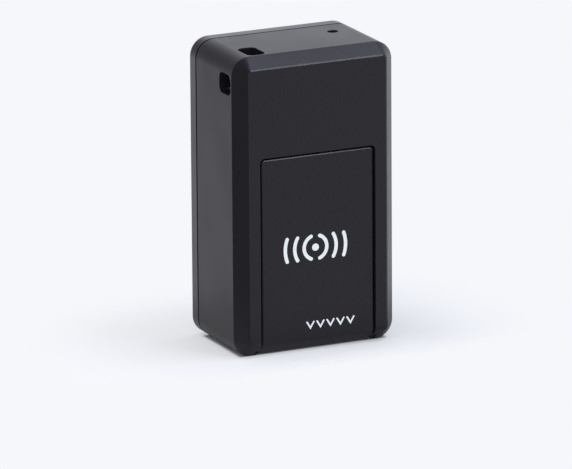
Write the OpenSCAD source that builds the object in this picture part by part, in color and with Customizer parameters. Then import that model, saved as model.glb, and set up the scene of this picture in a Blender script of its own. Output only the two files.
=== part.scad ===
// Magnetic pocket tracker, standing on its port end.
// Width runs along X, depth along Y with the face towards -Y, height along Z from the bottom end.

/* [Case] */
// Width of the case
body_w = 24.6; // [24.2:0.1:30]
// Depth of the case, face to back
body_d = 15.6; // [15.2:0.1:22]
// Height of the case
body_h = 43; // [42:0.5:60]
// Radius of the four long corners
corner_r = 2.7; // [2.2:0.1:3.2]
// Reach of the front bevel over the face
bevel_face = 1.6; // [1.2:0.1:1.8]
// Reach of the front bevel along the sides
bevel_depth = 1.8; // [1.4:0.1:2]
// Thickness of the side and end walls
wall = 1.2; // [1:0.05:1.3]
// Thickness of the front wall above the cover
face_wall = 1.4; // [1.1:0.1:1.6]
// Thickness of the back plate
back_t = 2; // [1.8:0.1:2.6]
// Small chamfer round the back plate's outer edge
back_chamfer = 0.25; // [0.15:0.05:0.6]
// Width of the shadow line between the shells
seam = 0.2; // [0.15:0.05:0.4]
// Depth that the back shell's lip reaches into the front shell
lip_reach = 1.2; // [0.8:0.1:1.4]
// Thickness of the back shell's lip
lip_t = 0.8; // [0.6:0.05:0.9]

/* [Slide cover] */
// Width of face on each side of the cover
cover_side = 3.75; // [3.5:0.05:3.85]
// Height of the cover's top edge, as a share of the case's height
cover_share = 0.658; // [0.645:0.001:0.69]
// Radius of the cover's top corners
cover_corner_r = 0.8; // [0.4:0.1:1.2]
// How far the cover lies below the face
cover_sink = 0.2; // [0.1:0.05:0.3]
// Thickness of the cover's visible plate
cover_plate_t = 0.7; // [0.6:0.05:0.8]
// Thickness of the flange that runs in the grooves
cover_flange_t = 0.7; // [0.6:0.05:0.8]
// Width of the flange beyond each side of the plate
cover_flange_reach = 0.6; // [0.45:0.05:0.7]
// Gap that shows round the cover
cover_gap = 0.35; // [0.2:0.05:0.4]
// Running gap between the flange and its grooves
slide_gap = 0.15; // [0.1:0.05:0.2]
// Thickness of the ledge behind the flange
ledge_t = 1; // [0.8:0.1:1.2]
// Width of ledge that backs the flange
ledge_grip = 0.85; // [0.6:0.05:0.9]
// Height of the sill below the window
sill_h = 5.2; // [5.1:0.1:5.8]
// Height of the strip between the window and the pocket's top
strip_h = 3; // [2:0.1:3.5]
// Radius of the window's corners
window_r = 0.8; // [0.4:0.1:1.2]

/* [Lanyard loop] */
// Width of the opening in the top, across the case
loop_top_w = 2.7; // [2.4:0.1:3]
// Depth of the opening in the top, face to back
loop_top_d = 4.4; // [3.8:0.1:4.6]
// Depth of the opening in the side, face to back
loop_side_d = 3.6; // [3:0.1:4]
// Height of the opening in the side
loop_side_h = 3.1; // [2.6:0.1:3.4]
// Radius of both openings' corners
loop_r = 0.9; // [0.5:0.1:1.2]
// Width of the post that the lanyard passes round, from the side
loop_post_w = 2.9; // [2.7:0.1:3.2]
// Height of the post, from the top
loop_post_h = 2.4; // [2.2:0.1:2.8]
// Distance from the bevel's edge back to the openings
loop_setback = 0.35; // [0.3:0.05:0.6]
// Wall round the lanyard's passage
loop_wall = 0.9; // [0.7:0.1:1]

/* [Sound hole] */
// Diameter of the sound hole
mic_hole_d = 1.5; // [1:0.1:1.8]
// Distance of the sound hole from the case's right side
mic_from_side = 5.3; // [4.8:0.1:6]
// Gap between the microphone's boot and the board
boot_gap = 0.15; // [0.1:0.05:0.2]
// Diameter of the microphone
mic_d = 3.8; // [3:0.1:4]
// Height of the microphone
mic_h = 1.5; // [1.2:0.1:1.6]
// Wall of the rubber boot
boot_wall = 0.45; // [0.4:0.05:0.5]
// Thickness of the boot's end, between microphone and case
boot_end = 0.5; // [0.4:0.1:0.6]

/* [Circuit board] */
// Thickness of the board
board_t = 1; // [0.8:0.1:1.2]
// Gap between the board's edge and the walls
board_gap = 0.4; // [0.3:0.1:0.5]
// Radius of the board's corners
board_r = 0.8; // [0.6:0.1:1]
// Height of the space for parts on the board's rear
rear_space = 0.95; // [0.95:0.05:1.2]

/* [Subscriber card] */
// Width of the card
sim_w = 12; // [12:0.1:12]
// Length of this card and of the memory card
card_l = 15; // [15:0.1:15]
// Thickness of the card
sim_t = 0.76; // [0.7:0.02:0.8]
// Cut at the card's corner
sim_cut = 2.3; // [1.8:0.1:2.5]
// Length of the card's socket
sim_socket_l = 11.3; // [10.5:0.1:12]
// Thickness of the socket's base
sim_base_t = 0.42; // [0.36:0.02:0.46]
// Thickness of the socket's sheet steel
cage_t = 0.2; // [0.16:0.02:0.24]
// Wall at each side of the card
cage_side = 0.5; // [0.4:0.05:0.6]
// Clearance on each face of a card in its socket
card_gap = 0.06; // [0.05:0.01:0.08]

/* [Memory card] */
// Width of the card
mem_w = 11; // [11:0.1:11]
// Thickness of the card at its grip end
mem_t = 1; // [1:0.1:1]
// Thickness of the card's inserted part
mem_thin_t = 0.7; // [0.7:0.1:0.7]
// Length of the card's socket
mem_socket_l = 13.2; // [12.5:0.1:13.6]
// Thickness of the socket's base
mem_base_t = 0.28; // [0.24:0.02:0.32]

/* [Push button] */
// Width of the switch housing
switch_w = 2.8; // [2.4:0.1:3]
// Gap between the sockets and the switch housing
switch_gap = 0.24; // [0.2:0.02:0.5]
// Shift of the sockets and the switch from the middle, to the left
socket_shift = 0.38; // [0:0.02:0.6]
// Height of the switch housing, along the case
switch_l = 3.4; // [3:0.1:3.8]
// How far the switch housing stands off the board
switch_h = 1.6; // [1.4:0.1:1.8]
// Diameter of the button
button_d = 1.5; // [1.2:0.1:1.6]
// How far the button stands off its housing
button_proud = 2.1; // [1.6:0.1:2.3]
// Travel of the button
button_travel = 0.25; // [0.15:0.05:0.3]

/* [Charging port] */
// Width of the port's steel shell
usb_w = 7.5; // [7.5:0.1:7.5]
// Height of the port's steel shell, off the board
usb_h = 2.5; // [2.5:0.1:2.5]
// Length of the port's steel shell
usb_l = 5.5; // [5:0.1:5.8]
// Thickness of the port's steel shell
usb_t = 0.25; // [0.2:0.05:0.3]
// Gap between the port and the case round it
usb_gap = 0.35; // [0.25:0.05:0.5]
// How far the port's mouth lies above the bottom end
usb_recess = 0.5; // [0.3:0.1:0.8]
// Cut at the port's two lower corners
usb_cut = 1; // [0.8:0.1:1.1]

/* [Battery] */
// Gap between the cell and the walls beside it
cell_side = 1.35; // [1.25:0.05:2.5]
// Radius of the cell's corners
cell_r = 1; // [0.6:0.1:1.5]
// Thickness of the insulating sheet
sheet_t = 0.15; // [0.1:0.05:0.2]
// Thickness of the adhesive tape behind the cell
tape_t = 0.6; // [0.4:0.1:0.8]
// Height of the protection board on top of the cell
guard_h = 2.2; // [2:0.1:2.4]
// Thickness of the protection board
guard_t = 1; // [0.8:0.1:1.2]
// Diameter of the cell's leads
lead_d = 0.9; // [0.7:0.1:1]
// Radius of the leads' bend
lead_bend = 1.2; // [1:0.1:1.3]

/* [Magnets] */
// Diameter of a magnet
magnet_d = 10; // [8:0.5:11]
// Thickness of a magnet
magnet_t = 1.5; // [1.2:0.1:1.5]
// Depth of a magnet below the back face
magnet_sink = 0.05; // [0:0.05:0.1]
// Distance between the two magnets' centres
magnet_spacing = 18; // [13:0.5:22]
// Thickness of the pad moulded behind each magnet
magnet_pad_t = 0.5; // [0.4:0.1:0.6]

/* [Screws] */
// Diameter of the screws' shank
screw_d = 1.4; // [1.2:0.1:1.5]
// Diameter of the screws' head
screw_head_d = 2.6; // [2.2:0.1:2.7]
// Height of the screws' head
screw_head_h = 0.8; // [0.6:0.1:0.9]
// Length of the screws below the head
screw_l = 8; // [7:0.5:9]
// Diameter of the front bosses
boss_front_d = 4; // [3.6:0.1:4]
// Diameter of the back bosses
boss_back_d = 3.4; // [3:0.1:3.6]
// Distance of the screws from the bottom end
screw_z = 3; // [3:0.1:3.1]
// Distance between the two screws
screw_spacing = 14; // [13.6:0.1:14.2]

/* [Antenna] */
// Thickness of the antenna film
film_t = 0.15; // [0.1:0.05:0.2]
// Width of a contact spring
spring_w = 1.2; // [1:0.1:1.4]
// Thickness of a contact spring's strip
spring_t = 0.2; // [0.15:0.05:0.25]
// Reach of a contact spring along the board
spring_reach = 2.2; // [1.8:0.1:2.4]
// Distance between the two springs
spring_pitch = 4; // [3:0.1:4.5]

/* [Hidden] */
$fn = 48;
hull_fn = 96;
// Overrun of every cut
over = 0.5;
// Gap between neighbours that aren't meant to touch
part_gap = 0.25;
// Gap round a part that is pressed into a pocket
fit_gap = 0.05;
// Radial gap round a pin or a screw's shank
pin_gap = 0.1;

// Planes across the depth, from the face to the back
front_y = -body_d / 2;
back_y = body_d / 2;
bevel_y = front_y + bevel_depth;
inner_front_y = front_y + face_wall;
seam_y = back_y - back_t;
rim_y = seam_y - seam;
cover_front_y = front_y + cover_sink;
flange_y = cover_front_y + cover_plate_t;
cover_back_y = flange_y + cover_flange_t;
groove_y = flange_y - slide_gap;
ledge_y = cover_back_y + slide_gap;
chamber_y = ledge_y + ledge_t;
sim_slot = sim_t + 2 * card_gap;
mem_slot = mem_t + 2 * card_gap;
sim_y = chamber_y + part_gap;
sim_base_y = sim_y + cage_t + sim_slot;
mem_y = sim_base_y + sim_base_t;
mem_base_y = mem_y + cage_t + mem_slot;
board_y = mem_base_y + mem_base_t;
board_back_y = board_y + board_t;
sheet_y = board_back_y + rear_space;
cell_y = sheet_y + sheet_t;
pad_y = seam_y - magnet_pad_t;
tape_y = pad_y - tape_t;
cell_t = tape_y - cell_y;

// Levels up the height
cover_top = body_h * cover_share;
ceiling_z = body_h - wall;
pocket_top = cover_top + cover_gap;
flange_top = cover_top + cover_flange_reach;
groove_top = flange_top + slide_gap;
window_top = pocket_top - strip_h;
upper_z = groove_top + wall;
socket_top = cover_top - ledge_t;
sim_z = socket_top - cage_t - card_l;
mem_z = socket_top - cage_side - card_l;
board_z = wall + board_gap;
board_top = body_h - board_z;
usb_top = usb_recess + usb_l;
cell_z = usb_top + 4 * part_gap;
mic_z = ceiling_z - boot_end - mic_h;
guard_top = mic_z - lead_bend;
guard_z = guard_top - guard_h;
cell_top = guard_z - part_gap;

// Widths and places across
side_x = body_w / 2;
inner_x = side_x - wall;
board_x = inner_x - board_gap;
cell_w = 2 * (inner_x - cell_side);
cover_w = body_w - 2 * cover_side;
pocket_w = cover_w + 2 * cover_gap;
flange_w = cover_w + 2 * cover_flange_reach;
groove_w = flange_w + 4 * fit_gap + 2 * pin_gap;
window_w = flange_w - 2 * ledge_grip;
sim_x = -socket_shift - (switch_gap + switch_w) / 2;
card_x = sim_x - sim_w / 2;
mem_x = card_x + mem_w / 2;
strip_x = card_x + max(sim_w, mem_w) + card_gap + cage_side + switch_gap + switch_w / 2;
cell_mid_y = cell_y + cell_t / 2;

// The lanyard's passage
loop_x0 = -side_x + loop_post_w;
loop_x1 = loop_x0 + loop_top_w;
loop_y0 = bevel_y + loop_setback;
loop_z1 = body_h - loop_post_h;
loop_z0 = loop_z1 - loop_side_h;
loop_block_x = loop_x1 + loop_wall;
loop_block_y = loop_y0 + loop_top_d + loop_wall;
loop_block_z = loop_z0 - loop_wall;

// The two posts that carry the board's top half
post_d = 2;
post_pin_d = 1;
post_x = inner_x - post_d / 2 - board_gap;
post_z = socket_top + part_gap + post_d / 2 + board_gap;

// The microphone's place
mic_x = side_x - mic_from_side;
boot_d = mic_d + 2 * boot_wall + pin_gap;
mic_y = board_back_y + boot_gap + boot_d / 2;

// Hooks on the back shell's lip, which catch in the front shell's top wall
hook_w = 3;
hook_reach = 0.45;
hook_y0 = seam_y - lip_reach;
hook_y1 = hook_y0 + lip_reach / 2;

// Button, lamps and small parts up the strip beside the sockets
button_z = sill_h + part_gap + cage_side + switch_l / 2;
light_l = 1.6;
light_z = button_z + switch_l / 2 + light_l;
small_l = 1;
small_rows = 6;
small_columns = 4;

// Chips on the board's rear
chip_w = 7;
chip_t = 0.85;
chip_pitch = 10.5;
chip_margin = 1.2;

// Shield over the radio, between the posts and the lanyard's passage
shield_h = 2.2;
shield_z = post_z + post_d / 2 + part_gap;

// Box between two corners
module block(x, y, z) {
    translate([x[0], y[0], z[0]])
        cube([x[1] - x[0], y[1] - y[0], z[1] - z[0]]);
}

// Outline in width and height, carried from one depth to another
module slab(y0, y1) {
    translate([0, y1, 0]) rotate([90, 0, 0]) linear_extrude(y1 - y0) children();
}

// Rod along the depth
module rod(x, z, d, y0, y1) {
    translate([x, y0, z]) rotate([-90, 0, 0]) cylinder(h = y1 - y0, d = d);
}

// Rectangle with round corners, about its centre
module round_rect(w, h, r) {
    square([w - 2 * r, h], center = true);
    square([w, h - 2 * r], center = true);
    for (sx = [-1, 1], sy = [-1, 1])
        translate([sx * (w / 2 - r), sy * (h / 2 - r)]) circle(r = r);
}

// The case's outline, drawn in by an inset. The hulls of the outside take more facets.
module case_outline(inset = 0) {
    translate([0, body_h / 2])
        round_rect(body_w - 2 * inset, body_h - 2 * inset, corner_r - inset);
}

// Cover outline from a foot level up to a top with round corners
module cover_outline(w, top, r, foot) {
    translate([-w / 2, foot]) square([w, top - r - foot]);
    translate([-w / 2 + r, foot]) square([w - 2 * r, top - foot]);
    for (s = [-1, 1]) translate([s * (w / 2 - r), top - r]) circle(r = r);
}

// Socket shell: a steel roof and sides over a slot
module cage(x, card_w, y0, slot, z0, z1, side, roof_cut_w, roof_cut_h) {
    color("#c9ccd0") difference() {
        block([x - card_w / 2 - card_gap - side, x + card_w / 2 + card_gap + side],
            [y0, y0 + cage_t + slot], [z0, z1]);
        block([x - card_w / 2 - card_gap, x + card_w / 2 + card_gap],
            [y0 + cage_t, y0 + cage_t + slot + over], [z0 - over, z1 + over]);
        for (s = [-1, 1])
            translate([x + s * card_w / 4, 0, (z0 + z1) / 2])
                slab(y0 - over, y0 + cage_t + card_gap)
                    round_rect(roof_cut_w, roof_cut_h, cage_t);
    }
}

// Socket base: a plate under the slot with a stop at its end
module socket_base(x, card_w, y0, base_t, slot, z0, z1, stop_z, side) {
    color("#26262a") {
        block([x - card_w / 2 - card_gap - side, x + card_w / 2 + card_gap + side],
            [y0, y0 + base_t], [z0, z1]);
        block([x - card_w / 2, x + card_w / 2], [y0 - slot + card_gap, y0], [stop_z + card_gap, z1]);
    }
}

// Round lead: up or down from its start, round a quarter bend, then forward to the board
module lead(x, y, z, d, rise, bend, up) {
    translate([x, y, z]) mirror([0, 0, up ? 0 : 1]) {
        cylinder(h = rise, d = d);
        translate([0, -bend, rise]) rotate([90, 0, 90])
            rotate_extrude(angle = 90) translate([bend, 0]) circle(d = d);
        translate([0, board_back_y - y, rise + bend]) rotate([-90, 0, 0])
            cylinder(h = y - bend - board_back_y, d = d);
    }
}

module front_shell() {
    color("#2c2b31") difference() {
        union() {
            difference() {
                hull() {
                    slab(front_y, bevel_y) case_outline(bevel_face, $fn = hull_fn);
                    slab(bevel_y, rim_y) case_outline($fn = hull_fn);
                }
                slab(chamber_y, rim_y + over) case_outline(wall);
                intersection() {
                    slab(inner_front_y, chamber_y + over) case_outline(wall + loop_wall);
                    block([-body_w, body_w], [front_y, back_y], [upper_z, body_h]);
                }
            }
            intersection() {
                block([-side_x, loop_block_x], [inner_front_y - wall / 4, loop_block_y],
                    [loop_block_z, body_h]);
                slab(front_y, back_y) case_outline(wall * 3 / 4);
            }
            for (s = [-1, 1]) {
                rod(s * screw_spacing / 2, screw_z, boss_front_d, ledge_y + ledge_t / 2, board_y);
                rod(s * post_x, post_z, post_d, ledge_y + ledge_t / 2, board_y);
                rod(s * post_x, post_z, post_pin_d, board_y - over, board_back_y);
            }
        }
        // Pocket, grooves and window of the cover
        slab(front_y - over, ledge_y)
            cover_outline(pocket_w, pocket_top, cover_corner_r + cover_gap, -over);
        slab(groove_y, ledge_y) cover_outline(groove_w, groove_top, cover_corner_r, -over);
        translate([0, 0, (sill_h + window_top) / 2]) slab(ledge_y - over, chamber_y + over)
            round_rect(window_w, window_top - sill_h, window_r);
        // Room for the button, also where the window ends short of it
        rod(strip_x, button_z, button_d + 2 * part_gap, ledge_y - over, chamber_y + over);
        // Lanyard openings in the top and the side
        translate([(loop_x0 + loop_x1) / 2, loop_y0 + loop_top_d / 2, (loop_z0 + loop_z1) / 2])
            linear_extrude(loop_post_h + loop_side_h)
                round_rect(loop_top_w, loop_top_d, loop_r);
        translate([-side_x - over, loop_y0 + loop_side_d / 2, (loop_z0 + loop_z1) / 2])
            rotate([90, 0, 90]) linear_extrude(loop_x1 - loop_r + side_x + over)
                round_rect(loop_side_d, loop_side_h, loop_r);
        // Sound hole
        translate([mic_x, mic_y, ceiling_z - over]) cylinder(h = wall + 2 * over, d = mic_hole_d);
        // Charging port's opening
        translate([0, board_back_y + usb_h / 2, -over]) linear_extrude(wall + 2 * over)
            round_rect(usb_w + 2 * usb_gap, usb_h + 2 * usb_gap, usb_gap * 2);
        // Catches for the back shell's hooks
        for (s = [-1, 1])
            block([s * inner_x / 2 - hook_w / 2 - pin_gap, s * inner_x / 2 + hook_w / 2 + pin_gap],
                [hook_y0 - pin_gap, hook_y1 + pin_gap], [ceiling_z - over, ceiling_z + hook_reach]);
        // Screw heads and shanks
        for (s = [-1, 1]) {
            rod(s * screw_spacing / 2, screw_z, screw_head_d + 2 * pin_gap,
                ledge_y - over, ledge_y + screw_head_h + pin_gap);
            rod(s * screw_spacing / 2, screw_z, screw_d + 2 * pin_gap, ledge_y, board_y + over);
        }
    }
}

module back_shell() {
    lip_inset = wall + pin_gap;
    color("#323138") difference() {
        union() {
            hull() {
                slab(seam_y, back_y - back_chamfer) case_outline($fn = hull_fn);
                slab(seam_y, back_y) case_outline(back_chamfer, $fn = hull_fn);
            }
            difference() {
                slab(seam_y - lip_reach, seam_y + over) case_outline(lip_inset);
                slab(seam_y - lip_reach - over, seam_y) case_outline(lip_inset + lip_t);
            }
            for (s = [-1, 1]) {
                block([s * inner_x / 2 - hook_w / 2, s * inner_x / 2 + hook_w / 2],
                    [hook_y0, hook_y1],
                    [body_h - lip_inset - lip_t / 2, ceiling_z + hook_reach - pin_gap]);
                rod(s * screw_spacing / 2, screw_z, boss_back_d, board_back_y, seam_y + over);
                rod(0, body_h / 2 + s * magnet_spacing / 2, magnet_d + wall, pad_y, seam_y + over);
            }
        }
        for (s = [-1, 1]) {
            rod(0, body_h / 2 + s * magnet_spacing / 2, magnet_d + 2 * fit_gap,
                back_y - magnet_t - magnet_sink, back_y + over);
            rod(s * screw_spacing / 2, screw_z, screw_d + 2 * fit_gap, board_back_y - over,
                ledge_y + screw_head_h + screw_l + part_gap);
        }
    }
}

// Level of the sunk bevel at a depth
function foot_z(y) = (bevel_y - y) * bevel_face / bevel_depth
    + cover_sink * sqrt(1 + pow(bevel_face / bevel_depth, 2));

module slide_cover() {
    color("#2e2d33") intersection() {
        union() {
            slab(cover_front_y, flange_y) cover_outline(cover_w, cover_top, cover_corner_r, 0);
            slab(flange_y, cover_back_y)
                cover_outline(flange_w, flange_top, cover_corner_r, 0);
        }
        translate([-body_w / 2, 0, 0]) rotate([90, 0, 90]) linear_extrude(body_w)
            polygon([[cover_front_y, foot_z(cover_front_y)],
                [cover_back_y, max(cover_sink, foot_z(cover_back_y))],
                [cover_back_y, body_h], [cover_front_y, body_h]]);
    }
}

module circuit_board() {
    color("#1f5a3c") difference() {
        translate([0, 0, body_h / 2]) slab(board_y, board_back_y)
            round_rect(2 * board_x, board_top - board_z, board_r);
        block([-body_w, loop_block_x + board_gap], [front_y, back_y],
            [loop_block_z - board_gap, body_h]);
        for (s = [-1, 1]) {
            rod(s * screw_spacing / 2, screw_z, screw_d + 2 * pin_gap, board_y - over,
                board_back_y + over);
            rod(s * post_x, post_z, post_pin_d + 2 * pin_gap, board_y - over, board_back_y + over);
        }
    }
}

module sim_cage() {
    cage(sim_x, sim_w, sim_y, sim_slot, socket_top - sim_socket_l, socket_top, cage_side,
        sim_w / 6, sim_socket_l / 2);
}

module sim_base() {
    socket_base(sim_x, sim_w, sim_base_y, sim_base_t, sim_slot, socket_top - sim_socket_l,
        socket_top, sim_z + card_l, cage_side);
}

// Six contact blades let into the base, flush with its floor
module sim_contacts() {
    color("#d9b25a") for (sx = [-1, 0, 1], row = [1, 3])
        block([sim_x + sx * sim_w / 4 - cage_t, sim_x + sx * sim_w / 4 + cage_t],
            [sim_base_y - card_gap / 2, sim_base_y],
            [socket_top - row * sim_socket_l / 4 - cage_side,
                socket_top - row * sim_socket_l / 4 + cage_side]);
}

module sim_card() {
    color("#e9e7e0") slab(sim_base_y - card_gap - sim_t, sim_base_y - card_gap)
        polygon([[sim_x - sim_w / 2, sim_z], [sim_x + sim_w / 2, sim_z],
            [sim_x + sim_w / 2, sim_z + card_l - sim_cut],
            [sim_x + sim_w / 2 - sim_cut, sim_z + card_l], [sim_x - sim_w / 2, sim_z + card_l]]);
}

module memory_cage() {
    cage(mem_x, mem_w, mem_y, mem_slot, socket_top - mem_socket_l, socket_top,
        cage_side, mem_w / 6, mem_socket_l / 2);
}

module memory_base() {
    socket_base(mem_x, mem_w, mem_base_y, mem_base_t, mem_slot, socket_top - mem_socket_l,
        socket_top, mem_z + card_l, cage_side);
}

// Card with a stepped side and a thicker grip along its outer end
module memory_card() {
    shoulder = (mem_t - mem_thin_t) * 2;
    back = mem_base_y - card_gap;
    color("#1d1d20") {
        slab(back - mem_thin_t, back)
            polygon([[mem_x - mem_w / 2, mem_z], [mem_x + mem_w / 2, mem_z],
                [mem_x + mem_w / 2, mem_z + card_l / 2],
                [mem_x + mem_w / 2 - shoulder, mem_z + card_l / 2 + shoulder],
                [mem_x + mem_w / 2 - shoulder, mem_z + card_l],
                [mem_x - mem_w / 2, mem_z + card_l]]);
        block([mem_x - mem_w / 2, mem_x + mem_w / 2], [back - mem_t, back - mem_thin_t],
            [mem_z, mem_z + card_l / 12]);
    }
}

module switch_housing() {
    color("#3a3a3e") difference() {
        block([strip_x - switch_w / 2, strip_x + switch_w / 2], [board_y - switch_h, board_y],
            [button_z - switch_l / 2, button_z + switch_l / 2]);
        rod(strip_x, button_z, button_d + 2 * pin_gap, board_y - switch_h - over,
            board_y - switch_h / 4);
    }
}

module power_button() {
    color("#dcd9d2") rod(strip_x, button_z, button_d, board_y - switch_h - button_proud,
        board_y - switch_h / 4 - button_travel - pin_gap);
}

// Two small lamps above the button
module status_lights() {
    color("#f2efe2") for (z = [light_z, light_z + 2 * light_l])
        block([strip_x - light_l / 4, strip_x + light_l / 4], [board_y - light_l / 2, board_y],
            [z - light_l / 2, z + light_l / 2]);
}

// Outline of the port in width and depth, drawn in by an inset
module usb_outline(inset) {
    translate([0, board_back_y]) polygon([
        [-usb_w / 2 + usb_cut + inset / 2, inset], [usb_w / 2 - usb_cut - inset / 2, inset],
        [usb_w / 2 - inset, usb_cut + inset / 2], [usb_w / 2 - inset, usb_h - inset],
        [-usb_w / 2 + inset, usb_h - inset], [-usb_w / 2 + inset, usb_cut + inset / 2]]);
}

module usb_shell() {
    color("#c4c7cb") translate([0, 0, usb_recess]) difference() {
        linear_extrude(usb_l) usb_outline(0);
        translate([0, 0, -over]) linear_extrude(usb_l + 2 * over) usb_outline(usb_t);
    }
}

module usb_tongue() {
    color("#202024") {
        translate([0, 0, usb_top - usb_l / 4]) linear_extrude(usb_l / 4)
            usb_outline(usb_t + fit_gap);
        block([-usb_w / 4, usb_w / 4], [board_back_y + usb_h / 2, board_back_y + usb_h * 3 / 4],
            [usb_recess + usb_t * 2, usb_top - usb_l / 4]);
    }
}

module microphone() {
    color("#b9bcc0") translate([mic_x, mic_y, mic_z]) cylinder(h = mic_h, d = mic_d);
}

module microphone_boot() {
    color("#232327") difference() {
        translate([mic_x, mic_y, mic_z]) cylinder(h = ceiling_z - mic_z, d = boot_d);
        translate([mic_x, mic_y, mic_z - over]) cylinder(h = mic_h + over, d = mic_d + pin_gap);
        translate([mic_x, mic_y, mic_z]) cylinder(h = ceiling_z - mic_z + over, d = mic_hole_d);
    }
}

module microphone_leads() {
    color("#8a2f2a") for (s = [-1, 1])
        lead(mic_x + s * mic_d / 5, mic_y, mic_z, lead_d / 2, part_gap, lead_bend * 2 / 3, false);
}

// Chip on the board's rear, with its centre and its size
module rear_chip(x, z, w, l, t) {
    block([x - w / 2, x + w / 2], [board_back_y, board_back_y + t], [z - l / 2, z + l / 2]);
}

module processor_chip() {
    color("#242427") rear_chip(-chip_w / 2, cell_z + chip_w * 2, chip_w, chip_w, chip_t);
}

module memory_chips() {
    color("#29292c") for (i = [0, 1])
        rear_chip(board_x - chip_margin - chip_w * 5 / 14, cell_z + chip_w + i * chip_pitch,
            chip_w * 5 / 7, chip_w * 6 / 7, chip_t * 0.9);
}

module crystal() {
    color("#d2d4d6") rear_chip(chip_w * 3 / 7 - chip_w, cell_z + chip_w * 3.2, chip_w * 3 / 7,
        chip_w * 2 / 7, chip_t * 0.8);
}

// Small parts in rows on the board's rear, and a few beside the button
module passives() {
    color("#b98f5c") {
        for (i = [0 : small_columns - 1], j = [0 : small_rows - 1])
            rear_chip(-chip_w * 8 / 7 + i * 2 * small_l, cell_z + chip_w / 7 + j * small_l * 1.1,
                small_l, small_l / 2, small_l / 2);
        for (j = [0 : small_columns - 1])
            block([strip_x - small_l / 2, strip_x + small_l / 2], [board_y - small_l / 3, board_y],
                [light_z + 3 * light_l + j * small_l * 0.9 - small_l / 4,
                    light_z + 3 * light_l + j * small_l * 0.9 + small_l / 4]);
    }
}

module radio_shield() {
    color("#c6c9cc") block([-post_x, board_x - 3 * spring_pitch / 4],
        [board_y - shield_h, board_y], [shield_z, loop_block_z - board_gap - part_gap]);
}

// Film on the inside of the front wall, beside the lanyard's passage
module antenna_film() {
    color("#b3792f") block([loop_block_x + board_gap, inner_x - loop_wall - board_gap],
        [inner_front_y, inner_front_y + film_t],
        [upper_z + board_gap, ceiling_z - loop_wall - board_gap]);
}

// Strip bent like a C from the board to the film
module antenna_springs() {
    front = inner_front_y + film_t;
    color("#d6b668") for (i = [0, 1])
        translate([loop_block_x + board_gap + spring_pitch * (i + 1 / 2), 0,
            loop_block_z + board_gap])
            rotate([90, 0, 90]) linear_extrude(spring_w)
                polygon([[board_y, 0], [board_y, spring_reach],
                    [board_y - spring_t, spring_reach], [board_y - spring_t, spring_t],
                    [front + spring_t, spring_t * 2], [front + spring_t, spring_reach],
                    [front, spring_reach], [front, spring_t], [board_y - spring_t, 0]]);
}

module battery_cell() {
    color("#b9bec4") translate([0, 0, (cell_z + cell_top) / 2]) slab(cell_y, tape_y)
        round_rect(cell_w, cell_top - cell_z, cell_r);
}

module battery_board() {
    color("#c08a2a") block([-cell_w / 2 + 2 * cell_r, cell_w / 2 - 2 * cell_r],
        [cell_mid_y - guard_t / 2, cell_mid_y + guard_t / 2], [cell_top, guard_top]);
}

module battery_lead(s) {
    lead(loop_block_x + lead_d * 3 + s * lead_d, cell_mid_y, guard_top, lead_d, part_gap, lead_bend,
        true);
}

module battery_lead_red() {
    color("#b3231e") battery_lead(-1);
}

module battery_lead_black() {
    color("#1c1c1e") battery_lead(1);
}

module insulating_sheet() {
    color("#d8d2b8") block([-cell_w / 2, cell_w / 2], [sheet_y, cell_y], [cell_z, cell_top]);
}

module battery_tape() {
    color("#e8e6df") for (s = [-1, 1])
        rod(0, body_h / 2 + s * magnet_spacing / 2, magnet_d, tape_y, pad_y);
}

module magnets() {
    color("#c3c5c8") for (s = [-1, 1])
        rod(0, body_h / 2 + s * magnet_spacing / 2, magnet_d, back_y - magnet_sink - magnet_t,
            back_y - magnet_sink);
}

// Round head with a cross recess, then a plain shank
module case_screws() {
    head_y = ledge_y + screw_head_h;
    color("#9a9ca0") for (s = [-1, 1]) difference() {
        union() {
            rod(s * screw_spacing / 2, screw_z, screw_head_d, ledge_y, head_y);
            rod(s * screw_spacing / 2, screw_z, screw_d, ledge_y, head_y + screw_l);
        }
        for (turn = [0, 90])
            translate([s * screw_spacing / 2, ledge_y, screw_z]) rotate([0, turn, 0])
                cube([screw_head_d * 2 / 3, screw_head_h, screw_head_d / 6], center = true);
    }
}

front_shell();
back_shell();
slide_cover();
circuit_board();
sim_cage();
sim_base();
sim_contacts();
sim_card();
memory_cage();
memory_base();
memory_card();
switch_housing();
power_button();
status_lights();
usb_shell();
usb_tongue();
microphone();
microphone_boot();
microphone_leads();
processor_chip();
memory_chips();
crystal();
passives();
radio_shield();
antenna_film();
antenna_springs();
battery_cell();
battery_board();
battery_lead_red();
battery_lead_black();
insulating_sheet();
battery_tape();
magnets();
case_screws();
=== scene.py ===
# Magnetic pocket tracker: the looks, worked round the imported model. Sizes are in millimetres.
import math

import bmesh
import bpy
import numpy as np
from mathutils import Matrix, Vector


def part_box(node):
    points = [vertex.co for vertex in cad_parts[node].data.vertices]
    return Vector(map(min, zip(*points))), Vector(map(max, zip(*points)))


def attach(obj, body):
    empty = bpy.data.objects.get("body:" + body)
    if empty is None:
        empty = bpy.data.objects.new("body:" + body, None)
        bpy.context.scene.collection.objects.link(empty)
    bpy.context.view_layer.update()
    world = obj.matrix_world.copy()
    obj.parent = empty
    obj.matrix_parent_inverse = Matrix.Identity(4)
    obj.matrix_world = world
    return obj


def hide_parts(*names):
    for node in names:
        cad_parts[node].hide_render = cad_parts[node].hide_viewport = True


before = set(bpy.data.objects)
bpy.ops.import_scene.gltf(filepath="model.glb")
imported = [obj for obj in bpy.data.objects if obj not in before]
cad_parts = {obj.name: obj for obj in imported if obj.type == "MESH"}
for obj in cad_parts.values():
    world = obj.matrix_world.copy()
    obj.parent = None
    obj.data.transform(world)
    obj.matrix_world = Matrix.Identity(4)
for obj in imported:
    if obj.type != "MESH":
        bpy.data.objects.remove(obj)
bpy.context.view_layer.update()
scene = bpy.context.scene
print("packed model loaded")


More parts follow.
